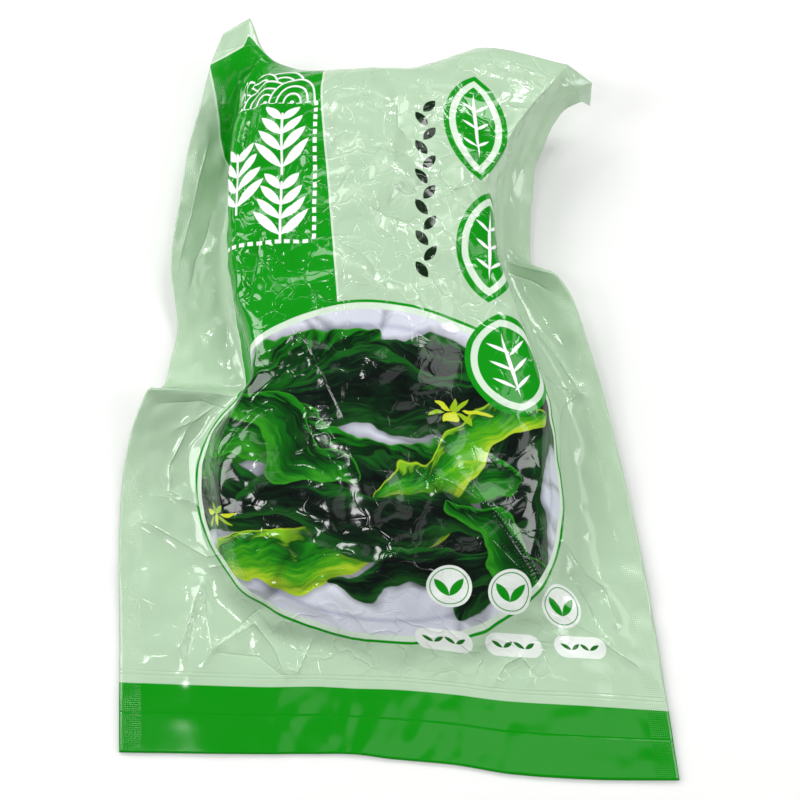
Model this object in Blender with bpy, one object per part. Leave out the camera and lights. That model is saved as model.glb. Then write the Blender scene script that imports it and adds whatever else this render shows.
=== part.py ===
"""A vacuum-packed pouch of kelp, lying on its back.

Two webs of printed film are heat-sealed round their edges, and the vacuum
has drawn them tight over a block of folded kelp. The pouch is laid out in
its own millimetres: u runs across the flat film from the left side seal,
v runs along it from the filled bottom end to the top seal. X is across,
Y along, Z up, and the block of kelp rests flat on z = 0.
"""

import bpy
import numpy as np

MM = 0.001

# Film sizes, in millimetres
FILM_LENGTH = 360.0
FILM_THICKNESS = 0.35
FILM_GAP = 0.30
SEAL_WIDTH = 10.0

# Where the toe of the block begins, and where the top end starts to turn up
TOE_START = 34.0
TOE_END = 62.0
END_START = 322.0
END_SEALED = FILM_LENGTH - SEAL_WIDTH
UNDER_RADIUS = 9.0
FOOT_END_Y = 151.0

# Kelp block
KELP_START = 58.0
KELP_END = 334.0
KELP_CLEARANCE = 0.9
BLADE_GROOVE = 1.1
BLADE_PITCH = 23.0

# Grid: rows along the pouch and columns across it
ROWS_PLAIN = 33
COLUMNS_FLAP = 4
COLUMNS_FLANK = 3
COLUMNS_TOP = 12
COLUMNS_BODY = COLUMNS_TOP + 2 * COLUMNS_FLANK
STEPS_PER_RAIL = 12

# The middle of the pouch's box, which is moved to the origin
CENTRE = (-3.18, 5.78)

# Rails run from the bottom edge (v = 0) to the top edge (v = 360).
# Each knot is (v, x, y, z). The two seams are the film's cut side edges.
LEFT_SEAM = (
    (0, -125.3, -162.7, 2.0), (23, -126.4, -139.7, 2.5), (63, -128.4, -99.8, 3.0),
    (106, -130.4, -56.2, 4.0), (121, -129.8, -41.9, 6.0), (143, -125.9, -21.2, 12.0),
    (162, -119.0, -5.0, 20.0), (168, -116.0, -0.7, 22.0), (181, -111.2, 4.8, 10.0),
    (195, -109.3, 17.7, 8.0), (210, -106.9, 32.8, 9.0), (241, -109.9, 62.8, 16.0),
    (272, -106.2, 92.5, 20.0), (295, -103.4, 115.6, 22.0), (319, -98.1, 138.6, 25.0),
    (346, -92.4, 165.0, 27.0), (360, -87.0, 178.0, 30.0),
)
LEFT_VALLEY = (
    (0, -62, -163.4, 2.0), (30, -62, -134.8, 3.0), (52, -66, -113.5, 3.0),
    (70, -80, -95.5, 3.5), (90, -89, -76, 4.0), (110, -95, -56.5, 4.0),
    (130, -97.5, -37, 5.0), (147, -93, -20.5, 8.0), (160, -84, -8.5, 12.0),
    (169, -77, -1.5, 14.0), (180, -74, 5, 9.0), (200, -78, 23.5, 9.0),
    (225, -84, 47.5, 9.0), (250, -85, 72.5, 10.0), (277, -84, 99, 10.0),
    (304, -82, 125, 13.0), (326, -78, 146.5, 20.0), (342, -74, 163, 27.0),
    (360, -70, 186, 30.0),
)
LEFT_SHOULDER = (
    (0, -38, -163.3, 2.0), (30, -38, -134.6, 3.0), (48, -40, -118, 4.0),
    (60, -50, -106, 11.0), (80, -66, -88, 20.0), (110, -76, -62, 27.0),
    (140, -80, -33, 31.0), (165, -72, -9, 33.0), (180, -66, 6, 33.0),
    (205, -70, 29, 36.0), (235, -77, 58, 38.0), (270, -79, 92, 40.0),
    (300, -77, 121, 42.0), (322, -71, 142, 38.0), (338, -65, 156, 33.0),
    (350, -59, 165, 27.0), (360, -55, 168, 20.0),
)
LEFT_TOP = (
    (0, -20, -163.5, 2.0), (31, -20, -134.5, 3.0), (45, -21, -121, 5.0),
    (58, -24, -109.5, 13.0), (78, -34, -92, 23.0), (110, -42, -63, 31.5),
    (140, -45, -34, 35.0), (180, -41, 5, 38.0), (220, -43, 45, 42.0),
    (260, -46, 84, 45.0), (290, -46, 114, 46.0), (315, -44, 139, 42.0),
    (333, -42, 155, 34.0), (345, -41, 161, 24.0), (360, -40, 164.5, 12.0),
)
CREST = (
    (0, -4, -165.5, 2.0), (31, -2, -135, 3.0), (40, -2, -126.5, 4.0),
    (54, -3, -113.5, 11.0), (75, -5, -96.5, 22.0), (95, -7, -79.5, 30.0),
    (120, -11, -54, 36.0), (165, -13, -10, 40.0), (211, -14, 36, 44.0),
    (258, -14, 83, 47.0), (283, -14, 107, 48.0), (309, -14, 134, 46.0),
    (329, -12, 152.5, 40.0), (342, -8, 158.5, 29.0), (351, -4, 160.5, 19.0),
    (360, -2, 162, 10.0),
)
RIGHT_TOP = (
    (0, 24, -168, 2.0), (31, 23, -137, 3.0), (45, 22, -124, 5.0),
    (58, 22, -112, 12.0), (78, 23, -95, 22.0), (110, 26, -65, 31.5),
    (140, 26, -35, 36.0), (180, 25, 4, 39.5), (220, 19, 44, 43.0),
    (260, 15, 84, 45.0), (290, 17, 113, 46.0), (318, 24, 138, 45.5),
    (338, 31, 154, 42.0), (350, 35, 161.5, 40.0), (360, 38, 166, 37.0),
)
RIGHT_SHOULDER = (
    (0, 50, -172, 2.0), (31, 48, -140, 3.0), (45, 46, -127, 3.5),
    (58, 48, -114, 8.0), (75, 52, -98, 17.0), (100, 58, -73, 26.0),
    (130, 61, -43, 31.0), (165, 62, -9, 35.0), (190, 57, 15, 37.0),
    (215, 50, 40, 38.0), (240, 42.5, 65, 39.0), (265, 41, 89, 40.0),
    (290, 45, 110, 41.0), (318, 57, 131, 41.0), (345, 73, 145.5, 42.0),
    (360, 80, 155, 41.0),
)
RIGHT_VALLEY = (
    (0, 86, -174.3, 2.0), (31, 83, -142, 3.0), (50, 82, -123, 3.0),
    (70, 82.5, -104, 3.5), (100, 82, -75, 4.0), (130, 81, -46, 5.0),
    (165, 79, -11, 8.0), (190, 70, 13.5, 10.0), (215, 60, 38, 11.0),
    (240, 51, 62, 11.0), (262, 50, 82, 14.0), (285, 52, 103, 20.0),
    (318, 63, 127.5, 30.0), (345, 80, 143.5, 35.0), (360, 88, 151, 33.0),
)
RIGHT_SEAM = (
    (0, 124.0, -174.6, 2.0), (33, 120.3, -142.4, 3.0), (67, 116.2, -108.8, 3.0),
    (88.5, 113.4, -88.0, 4.0), (125, 107.3, -52.7, 6.0), (177, 96.7, -2.5, 10.0),
    (201, 90.3, 20.0, 14.0), (219, 84.7, 36.5, 18.0), (234, 78.5, 49.4, 21.0),
    (241.5, 73.9, 55.0, 22.0), (263, 63.8, 67.3, 8.0), (276, 64.4, 79.5, 6.0),
    (291.5, 64.6, 95.0, 8.0), (308, 65.5, 110.8, 12.0), (324, 70.2, 124.5, 18.0),
    (342.5, 79.7, 139.1, 24.0), (350.5, 86.2, 142.3, 27.0), (360, 94.1, 146.6, 24.0),
)
RAILS = (
    LEFT_SEAM, LEFT_VALLEY, LEFT_SHOULDER, LEFT_TOP, CREST,
    RIGHT_TOP, RIGHT_SHOULDER, RIGHT_VALLEY, RIGHT_SEAM,
)

# Lumps that folded blades press into the film: (x, y, radius, height)
LUMPS = (
    (-48, 118, 22, 1.6), (-6, 96, 26, 1.8), (28, 112, 18, 1.5), (-58, 70, 20, 1.5),
    (-24, 48, 24, 1.7), (22, 60, 20, 1.4), (-44, 12, 22, 1.6), (8, 8, 26, 1.8),
    (44, -6, 18, 1.6), (-66, -30, 18, 1.5), (-22, -40, 24, 1.7), (26, -48, 22, 1.6),
    (-50, -72, 20, 1.4), (2, -78, 22, 1.3),
)


def smooth_step(low, high, x):
    """0 below low, 1 above high, and 3t^2 - 2t^3 between them."""
    t = np.clip((x - low) / (high - low), 0.0, 1.0)
    return t * t * (3.0 - 2.0 * t)


def glide(knots, values, at):
    """A cubic through the knots whose slope never overshoots a peak or a dip."""
    step = np.diff(knots)
    rise = np.diff(values) / step
    slope = np.empty(len(knots))
    slope[0], slope[-1] = rise[0], rise[-1]
    same = rise[:-1] * rise[1:] > 0.0
    total = np.where(same, rise[:-1] + rise[1:], 1.0)
    slope[1:-1] = np.where(same, 2.0 * rise[:-1] * rise[1:] / total, 0.0)
    k = np.clip(np.searchsorted(knots, at, side="right") - 1, 0, len(step) - 1)
    t = (at - knots[k]) / step[k]
    start = (1.0 + 2.0 * t) * (1.0 - t) ** 2 * values[k]
    start += t * (1.0 - t) ** 2 * step[k] * slope[k]
    finish = t * t * (3.0 - 2.0 * t) * values[k + 1]
    finish += t * t * (t - 1.0) * step[k] * slope[k + 1]
    return start + finish


def rail_points(knots, v):
    """The points of one rail at the rows v."""
    table = np.array(knots, dtype=float)
    return np.stack([glide(table[:, 0], table[:, c], v) for c in (1, 2, 3)], axis=-1)


def rows_across(v):
    """Each row as a smooth curve across the nine rails, with even steps in each span.

    A span is a cubic between two rails. Its end directions come from the
    rails on either side, divided by their distance, so that long and short
    spans meet without a bulge.
    """
    points = np.stack([rail_points(knots, v) for knots in RAILS], axis=1)
    span = np.linalg.norm(np.diff(points, axis=1), axis=2)[..., None]
    heading = np.empty_like(points)
    heading[:, 1:-1] = (points[:, 2:] - points[:, :-2]) / (span[:, 1:] + span[:, :-1])
    heading[:, 0] = (points[:, 1] - points[:, 0]) / span[:, 0]
    heading[:, -1] = (points[:, -1] - points[:, -2]) / span[:, -1]
    t = np.linspace(0.0, 1.0, STEPS_PER_RAIL, endpoint=False)[None, None, :, None]
    curve = (1 + 2 * t) * (1 - t) ** 2 * points[:, :-1, None]
    curve = curve + t * (1 - t) ** 2 * (span * heading[:, :-1])[:, :, None]
    curve = curve + t * t * (3 - 2 * t) * points[:, 1:, None]
    curve = curve + t * t * (t - 1) * (span * heading[:, 1:])[:, :, None]
    curve = curve.reshape(len(v), -1, 3)
    return np.concatenate([curve, points[:, -1:]], axis=1)


def with_lumps(points, v):
    """Raises each lump as a smooth bump, fading where no kelp lies below."""
    x, y = points[..., 0], points[..., 1]
    rise = np.zeros_like(x)
    for lump_x, lump_y, radius, height in LUMPS:
        away = ((x - lump_x) ** 2 + (y - lump_y) ** 2) / radius**2
        rise += height * np.exp(-2.5 * away)
    columns = np.arange(points.shape[1]) / STEPS_PER_RAIL
    inside = smooth_step(1.6, 2.2, columns) * smooth_step(1.6, 2.2, 8.0 - columns)
    along = smooth_step(TOE_END, TOE_END + 30, v) * smooth_step(-END_START, 20 - END_START, -v)
    lumpy = points.copy()
    lumpy[..., 2] += rise * inside[None, :] * along[:, None]
    return lumpy


def outward(points):
    """Unit normals of a grid of points, on the side that faces up."""
    across = np.gradient(points, axis=1)
    along = np.gradient(points, axis=0)
    normal = np.cross(across, along)
    return normal / np.linalg.norm(normal, axis=2)[..., None]


def pick(points, columns):
    """Points of each row at fractional column numbers, read between its own points."""
    low = np.clip(np.floor(columns).astype(int), 0, points.shape[1] - 2)
    part = (columns - low)[..., None]
    rows = np.arange(points.shape[0])[:, None]
    return points[rows, low] * (1.0 - part) + points[rows, low + 1] * part


def even_columns(points, first, last, count):
    """Column numbers from first to last that are evenly spaced along each row's length."""
    piece = points[:, first:last + 1]
    length = np.linalg.norm(np.diff(piece, axis=1), axis=2)
    run = np.concatenate([np.zeros((len(piece), 1)), np.cumsum(length, axis=1)], axis=1)
    numbers = np.arange(first, last + 1)
    stops = np.linspace(0.0, 1.0, count + 1)
    return np.stack([np.interp(stops * r[-1], r, numbers) for r in run])


def film_columns(front):
    """Columns of both films, evenly spaced over each flap, each flank and the top of the
    block, so that grid lines follow the rails where those parts meet."""
    rails = np.array([0, 1, 2, 6, 7, 8]) * STEPS_PER_RAIL
    counts = (COLUMNS_FLAP, COLUMNS_FLANK, COLUMNS_TOP, COLUMNS_FLANK, COLUMNS_FLAP)
    parts = [
        even_columns(front, first, last, count)[:, :-1]
        for first, last, count in zip(rails[:-1], rails[1:], counts)
    ]
    final = np.full((len(front), 1), float(rails[-1]))
    return np.concatenate(parts + [final], axis=1)


def under_block(sealed, v):
    """The lower face of the back film: it follows the front film round the edges
    and drops in a quarter ellipse to z = 0 under the block of kelp."""
    body = slice(COLUMNS_FLAP, COLUMNS_FLAP + COLUMNS_BODY + 1)
    t = np.linspace(0.0, 1.0, COLUMNS_BODY + 1)[None, :, None]
    left, right = sealed[:, body][:, :1], sealed[:, body][:, -1:]
    chord = left * (1.0 - t) + right * t
    bow = 4.0 * t * (1.0 - t)
    middle = sealed[:, body][:, COLUMNS_BODY // 2][:, None]
    chord[..., 1:2] += bow * (np.minimum(middle, FOOT_END_Y) - 0.5 * (left + right))[..., 1:2]
    width = np.linalg.norm(right - left, axis=2)[..., None]
    edge = np.minimum(t, 1.0 - t) * width
    close = np.clip(1.0 - edge / UNDER_RADIUS, 0.0, 1.0)
    chord[..., 2:3] *= 1.0 - np.sqrt(1.0 - close**2)
    joined = 1.0 - smooth_step(TOE_START, TOE_END, v) + smooth_step(END_START, END_SEALED, v)
    joined = joined[:, None, None]
    lower = sealed.copy()
    lower[:, body] = chord * (1.0 - joined) + sealed[:, body] * joined
    lower[..., 2] = np.maximum(lower[..., 2], 0.0)
    return lower


def add_object(name, vertices, faces, material):
    """A mesh object at the origin, its points moved to the pouch's centre, in metres."""
    shift = np.array([CENTRE[0], CENTRE[1], 0.0])
    mesh = bpy.data.meshes.new(name)
    mesh.from_pydata(((vertices - shift) * MM).tolist(), [], faces)
    mesh.materials.append(material)
    mesh.shade_smooth()
    mesh.update()
    thing = bpy.data.objects.new(name, mesh)
    bpy.context.scene.collection.objects.link(thing)
    return thing


def grid_faces(rows, columns, start, flipped=False):
    """Two triangles for each cell of a grid of points."""
    corner = start + np.arange(rows - 1)[:, None] * columns + np.arange(columns - 1)
    a, b = corner.ravel(), corner.ravel() + 1
    c, d = a + columns + 1, a + columns
    faces = np.concatenate([np.stack([a, b, c], 1), np.stack([a, c, d], 1)])
    return (faces[:, ::-1] if flipped else faces).tolist()


def rim_of(rows, columns):
    """The border of a grid as one ring of point numbers, counter-clockwise from above."""
    number = np.arange(rows * columns).reshape(rows, columns)
    parts = (number[0, :-1], number[:-1, -1], number[-1, :0:-1], number[:0:-1, 0])
    return np.concatenate(parts)


def shell(name, upper, lower, material):
    """A closed thin sheet between an upper and a lower grid of the same shape."""
    rows, columns = upper.shape[:2]
    count = rows * columns
    vertices = np.concatenate([upper.reshape(-1, 3), lower.reshape(-1, 3)])
    faces = grid_faces(rows, columns, 0) + grid_faces(rows, columns, count, flipped=True)
    rim = rim_of(rows, columns)
    following = np.roll(rim, -1)
    faces += np.stack([rim + count, following + count, following], 1).tolist()
    faces += np.stack([rim + count, following, rim], 1).tolist()
    return add_object(name, vertices, faces, material)


def kelp_block(upper, normals, lower, lower_normals, v, material):
    """The packed kelp: a ring at each row, its top under the front film and its foot
    over the back film, grooved where one folded blade lies beside the next."""
    rows = (v >= KELP_START) & (v <= KELP_END)
    middle = slice(COLUMNS_FLAP + 1, COLUMNS_FLAP + COLUMNS_BODY)
    depth = FILM_THICKNESS + KELP_CLEARANCE
    top = (upper - depth * normals)[rows, middle]
    phase = top[..., 0] + 9.0 * np.sin(top[..., 1] / 31.0)
    groove = 0.5 - 0.5 * np.cos(2.0 * np.pi * phase / BLADE_PITCH)
    high = np.clip((top[..., 2] - 12.0) / 12.0, 0.0, 1.0)
    top[..., 2] -= BLADE_GROOVE * high * groove**3
    foot = (lower + depth * lower_normals)[rows, middle]
    ring = np.concatenate([top, foot[:, ::-1]], axis=1)
    count, size = ring.shape[:2]
    number = np.arange(count * size).reshape(count, size)
    a, b = number[:-1], np.roll(number, -1, axis=1)[:-1]
    d, c = number[1:], np.roll(number, -1, axis=1)[1:]
    half = size // 2
    above = np.concatenate([np.stack([a, b, c], -1), np.stack([a, c, d], -1)])[:, :half]
    below = np.concatenate([np.stack([a, b, d], -1), np.stack([b, c, d], -1)])[:, half:]
    faces = above.reshape(-1, 3).tolist() + below.reshape(-1, 3).tolist()
    for row, turned in ((0, False), (count - 1, True)):
        for i in range(half - 1):
            up, over = number[row, i], number[row, i + 1]
            down, under = number[row, size - 1 - i], number[row, size - 2 - i]
            quad = ([up, down, under], [up, under, over])
            faces += [f[::-1] if turned else f for f in quad]
    return add_object("kelp", ring.reshape(-1, 3), faces, material)


def plain_material(name, colour, roughness, metallic):
    """A Principled material with one colour."""
    material = bpy.data.materials.new(name)
    material.use_nodes = True
    shader = material.node_tree.nodes["Principled BSDF"]
    shader.inputs["Base Color"].default_value = (*colour, 1.0)
    shader.inputs["Roughness"].default_value = roughness
    shader.inputs["Metallic"].default_value = metallic
    material.diffuse_color = (*colour, 1.0)
    return material


def row_places():
    """Even rows, with closer ones at the two side pleats and round the top end."""
    extra = np.array([50, 168, 174.5, 181, 241.5, 252, 263, 336, 343, 349, 354.5])
    even = np.linspace(0.0, FILM_LENGTH, ROWS_PLAIN)
    clear = np.abs(even[:, None] - extra).min(axis=1) > 4.0
    return np.sort(np.concatenate([even[clear], extra]))


def build():
    """The two films and the kelp between them."""
    for old in list(bpy.data.objects):
        bpy.data.objects.remove(old, do_unlink=True)

    v = row_places()
    front = with_lumps(rows_across(v), v)
    normals = outward(front)
    columns = film_columns(front)
    upper = pick(front, columns)
    upper_normals = pick(normals, columns)
    inner = upper - FILM_THICKNESS * upper_normals
    film_green = plain_material("printed_film", (0.52, 0.68, 0.50), 0.28, 0.0)
    shell("front_film", upper, inner, film_green)

    sealed = upper - (2.0 * FILM_THICKNESS + FILM_GAP) * upper_normals
    lower = under_block(sealed, v)
    lower_normals = outward(lower)
    back_inner = lower + FILM_THICKNESS * lower_normals
    film_pale = plain_material("plain_film", (0.58, 0.73, 0.56), 0.3, 0.0)
    shell("back_film", back_inner, lower, film_pale)

    kelp_green = plain_material("wet_kelp", (0.012, 0.06, 0.012), 0.25, 0.0)
    kelp_block(upper, upper_normals, lower, lower_normals, v, kelp_green)


build()
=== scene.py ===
"""The looks of a vacuum-packed kelp pouch: its wrinkled glossy film, its print and its studio.

The film's shape is a function of two numbers. v runs along the pouch from the filled bottom
end, 0, to the top seal, 360 mm. The other counts the nine rails across it, from the left cut
edge, 0, to the right one, 8. The rails follow those of the solids, a few millimetres apart
at the two upper corners. On this smooth shape the film is settled as real film is: it has a
little more length than its place, the vacuum holds it down, and the spare length buckles
into creases. The print is drawn in millimetres of the flat film.
"""

import math

import bpy
import numpy as np
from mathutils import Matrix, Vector


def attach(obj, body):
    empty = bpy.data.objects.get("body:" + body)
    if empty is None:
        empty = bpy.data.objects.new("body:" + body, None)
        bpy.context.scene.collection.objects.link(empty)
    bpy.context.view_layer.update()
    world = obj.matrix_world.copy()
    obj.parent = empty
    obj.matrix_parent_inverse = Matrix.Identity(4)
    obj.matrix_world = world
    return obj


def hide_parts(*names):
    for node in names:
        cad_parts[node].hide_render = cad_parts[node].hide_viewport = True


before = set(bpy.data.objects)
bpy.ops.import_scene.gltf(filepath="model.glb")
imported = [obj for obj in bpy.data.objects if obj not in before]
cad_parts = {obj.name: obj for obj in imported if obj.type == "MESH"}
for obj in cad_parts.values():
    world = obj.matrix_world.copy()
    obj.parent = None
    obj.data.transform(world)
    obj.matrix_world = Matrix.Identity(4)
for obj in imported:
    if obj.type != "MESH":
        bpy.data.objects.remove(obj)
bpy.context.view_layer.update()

MM = 0.001

# Film sizes, in millimetres. The front film's hidden face lies a little deeper over the
# block, where it has only half as many steps and the creases are sharp.
FILM_WIDTH = 250.0
FILM_LENGTH = 360.0
FILM_THICKNESS = 0.35
FILM_GAP = 0.30
HIDDEN_DEPTH = 0.3
SEAL_WIDTH = 10.0
KELP_CLEARANCE = 2.4

# The frame's origin, in the rails' millimetres
CENTRE = (-3.18, 5.78)

# Where along the film the toe of the block rises and where the top end closes, how wide the
# block's foot rounds off, and how far up the floor it reaches
TOE_START = 34.0
TOE_END = 62.0
END_START = 322.0
END_SEALED = FILM_LENGTH - SEAL_WIDTH
UNDER_RADIUS = 9.0
FOOT_END_Y = 151.0

# The rails, from the left cut edge to the right one: knots of (v, x, y, z)
LEFT_SEAM = (
    (0, -125.3, -162.7, 2.0), (23, -126.4, -139.7, 2.5), (63, -128.4, -99.8, 3.0),
    (106, -130.4, -56.2, 4.0), (121, -129.8, -41.9, 6.0), (143, -125.9, -21.2, 12.0),
    (162, -119.0, -5.0, 20.0), (168, -116.0, -0.7, 22.0), (181, -111.2, 4.8, 10.0),
    (195, -109.3, 17.7, 8.0), (210, -106.9, 32.8, 9.0), (241, -109.9, 62.8, 16.0),
    (272, -106.2, 92.5, 20.0), (295, -103.4, 115.6, 22.0), (319, -98.1, 138.6, 25.0),
    (346, -92.4, 165.0, 27.0), (360, -87.0, 178.0, 30.0),
)
LEFT_VALLEY = (
    (0, -62, -163.4, 2.0), (30, -62, -134.8, 3.0), (52, -66, -113.5, 3.0),
    (70, -80, -95.5, 3.5), (90, -89, -76, 4.0), (110, -95, -56.5, 4.0),
    (130, -97.5, -37, 5.0), (147, -93, -20.5, 8.0), (160, -84, -8.5, 12.0),
    (169, -77, -1.5, 14.0), (180, -74, 5, 9.0), (200, -78, 23.5, 9.0),
    (225, -84, 47.5, 9.0), (250, -85, 72.5, 10.0), (277, -84, 99, 10.0),
    (304, -82, 125, 13.0), (326, -78, 146.5, 20.0), (342, -74, 163, 27.0),
    (360, -74.0, 186.6, 30.0),
)
LEFT_SHOULDER = (
    (0, -38, -163.3, 2.0), (30, -38, -134.6, 3.0), (48, -40, -118, 4.0),
    (60, -50, -106, 11.0), (80, -66, -88, 20.0), (110, -76, -62, 27.0),
    (140, -80, -33, 31.0), (165, -72, -9, 33.0), (180, -66, 6, 33.0),
    (205, -70, 29, 36.0), (235, -77, 58, 38.0), (270, -79, 92, 40.0),
    (300, -77, 121, 42.0), (322, -71, 142, 38.0), (338, -65, 156, 33.0),
    (350, -61, 164, 27.0), (360, -63.3, 167.1, 24.0),
)
LEFT_TOP = (
    (0, -20, -163.5, 2.0), (31, -20, -134.5, 3.0), (45, -21, -121, 5.0),
    (58, -24, -109.5, 13.0), (78, -34, -92, 23.0), (110, -42, -63, 31.5),
    (140, -45, -34, 35.0), (180, -41, 5, 38.0), (220, -43, 45, 42.0),
    (260, -46, 84, 45.0), (290, -46, 114, 46.0), (315, -44, 139, 42.0),
    (333, -42, 155, 34.0), (345, -41, 161, 24.0), (360, -40, 164.5, 12.0),
)
CREST = (
    (0, -4, -165.5, 2.0), (31, -2, -135, 3.0), (40, -2, -126.5, 4.0),
    (54, -3, -113.5, 11.0), (75, -5, -96.5, 22.0), (95, -7, -79.5, 30.0),
    (120, -11, -54, 36.0), (165, -13, -10, 40.0), (211, -14, 36, 44.0),
    (258, -14, 83, 47.0), (283, -14, 107, 48.0), (309, -14, 134, 46.0),
    (329, -12, 152.5, 40.0), (342, -8, 158.5, 29.0), (351, -4, 160.5, 19.0),
    (360, -2, 162, 10.0),
)
RIGHT_TOP = (
    (0, 24, -168, 2.0), (31, 23, -137, 3.0), (45, 22, -124, 5.0),
    (58, 22, -112, 12.0), (78, 23, -95, 22.0), (110, 26, -65, 31.5),
    (140, 26, -35, 36.0), (180, 25, 4, 39.5), (220, 19, 44, 43.0),
    (260, 15, 84, 45.0), (290, 17, 113, 46.0), (318, 24, 138, 45.5),
    (338, 31, 154, 42.0), (350, 35, 161.5, 40.0), (360, 38, 166, 37.0),
)
RIGHT_SHOULDER = (
    (0, 50, -172, 2.0), (31, 48, -140, 3.0), (45, 46, -127, 3.5),
    (58, 48, -114, 8.0), (75, 52, -98, 17.0), (100, 58, -73, 26.0),
    (130, 61, -43, 31.0), (165, 62, -9, 35.0), (190, 57, 15, 37.0),
    (215, 50, 40, 38.0), (240, 42.5, 65, 39.0), (265, 41, 89, 40.0),
    (290, 49.5, 110.5, 41.0), (318, 62, 132, 41.5), (345, 73, 145.5, 42.0),
    (360, 80, 155, 41.0),
)
RIGHT_VALLEY = (
    (0, 86, -174.3, 2.0), (31, 83, -142, 3.0), (50, 82, -123, 3.0),
    (70, 82.5, -104, 3.5), (100, 82, -75, 4.0), (130, 81, -46, 5.0),
    (165, 79, -11, 8.0), (190, 70, 13.5, 10.0), (215, 60, 38, 11.0),
    (240, 51, 62, 11.0), (262, 50, 82, 14.0), (285, 52, 103, 20.0),
    (318, 63, 127.5, 30.0), (345, 80, 143.5, 35.0), (360, 92.7, 149.0, 34.0),
)
RIGHT_SEAM = (
    (0, 124.0, -174.6, 2.0), (33, 120.3, -142.4, 3.0), (67, 116.2, -108.8, 3.0),
    (88.5, 113.4, -88.0, 4.0), (125, 107.3, -52.7, 6.0), (177, 96.7, -2.5, 10.0),
    (201, 90.3, 20.0, 14.0), (219, 84.7, 36.5, 18.0), (234, 78.5, 49.4, 21.0),
    (241.5, 73.9, 55.0, 22.0), (263, 63.8, 67.3, 8.0), (276, 64.4, 79.5, 6.0),
    (291.5, 64.6, 95.0, 8.0), (308, 65.5, 110.8, 12.0), (324, 70.2, 124.5, 18.0),
    (342.5, 79.7, 139.1, 24.0), (350.5, 87.2, 142.3, 27.0), (360, 94.1, 145.3, 18.0),
)
RAILS = (
    LEFT_SEAM, LEFT_VALLEY, LEFT_SHOULDER, LEFT_TOP, CREST,
    RIGHT_TOP, RIGHT_SHOULDER, RIGHT_VALLEY, RIGHT_SEAM,
)

# Rails along which the film is folded sharply: the rail, and the v where its fold begins
# and where it is full
FOLDS = ((1, 340.0, 350.0), (6, 282.0, 300.0), (7, 346.0, 356.0))

# Folded kelp that shows through the film: middle, radius and height
LUMPS = (
    (-48, 118, 22, 1.6), (-6, 96, 26, 1.8), (28, 112, 18, 1.5), (-58, 70, 20, 1.5),
    (-24, 48, 24, 1.7), (22, 60, 20, 1.4), (-44, 12, 22, 1.6), (8, 8, 26, 1.8),
    (44, -6, 18, 1.6), (-66, -30, 18, 1.5), (-22, -40, 24, 1.7), (26, -48, 22, 1.6),
    (-50, -72, 20, 1.4), (2, -78, 22, 1.3),
)

# The film's grid: steps between one rail and the next, and rows along the pouch
SPAN_STEPS = (36, 22, 24, 22, 28, 28, 22, 26)
ROWS = 289

# How far the crest lies from the left edge of the flat film, in millimetres
CREST_PLACE = 124.0

# Print colours, as the lit film shows them, and how soft the edge of an ink is
MINT = "#B2CDAE"
PALE_MINT = "#D2E4CF"
PRINT_GREEN = "#0C9010"
BAND_GREEN = "#078F09"
PRINT_WHITE = "#F3F6F2"
BADGE_WHITE = "#EAF0E9"
PILL_WHITE = "#E9F0E8"
EDGE = 0.25

# Places of the print on the flat film, in millimetres from its lower left corner.
# A slanted edge is (u, v, slope): it passes through that place and leans by slope.
BAND_TOP = 30.5
PANEL_LEFT = 42.0
PANEL_LEFT_SLANT = (42.0, 270.0, 0.79)
PANEL_LEFT_SWEEP = (19.0, 299.0, 0.435)
PANEL_RIGHT_SLANT = (107.0, 239.0, 0.09)
PANEL_TOP = 344.0
PANEL_TOP_SLOPE = 0.38
PANEL_HIGHEST = 353.0
PANEL_FOOT = 168.0
FRAME_CENTRE = (70.0, 275.0)
FRAME_HALF = (28.5, 35.5)
DASH_PITCH = 2.1
DASH_GAP = 0.38
FRAME_CORNER = 2.0
FRAME_LINE = 1.8
FRONDS = ((83.0, 288.0), (83.0, 254.0), (62.0, 270.0))
FROND_HEIGHT = 31.0
FROND_PAIRS = 4
WAVE_STRETCH = 1.5
WAVES = tuple((80.6 - 12.5 * k, 318.0) for k in range(4))
WAVES += tuple((49.4 + 12.5 * k, 310.0) for k in range(4))
WAVE_RADIUS = 11.3
WAVE_PITCH = 3.4
WAVE_LINE = 0.8
MEDALLIONS = (
    ((174.0, 301.0), 14.0, 29.0, 4.0), ((180.0, 238.0), 15.0, 26.0, -3.0),
    ((186.0, 181.0), 19.0, 23.0, 8.0),
)
MEDALLION_LINE = 2.6
MEDALLION_MARGIN = 4.4
PICTURE_CENTRE = (124.8, 131.0)
PICTURE_RING = (92.0, 79.0)
PICTURE_HALF = (88.5, 75.5)
DISH_RIM = (80.0, 68.0)
LEAF_COLUMN = tuple(
    (150.0 + (1.9 if k % 2 else -1.9), 226.0 + 7.5 * k, -38.0 if k % 2 else 38.0)
    for k in range(12)
)
BADGES = ((155.0, 82.0), (182.0, 79.5), (208.0, 75.0))
BADGE_RADIUS = 10.0
BADGE_MARGIN = 1.6
BADGE_LINE = 0.45
PILLS = ((149.0, 55.5), (181.0, 56.0), (213.0, 56.5))
PILL_HALF = (13.0, 5.0)

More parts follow.
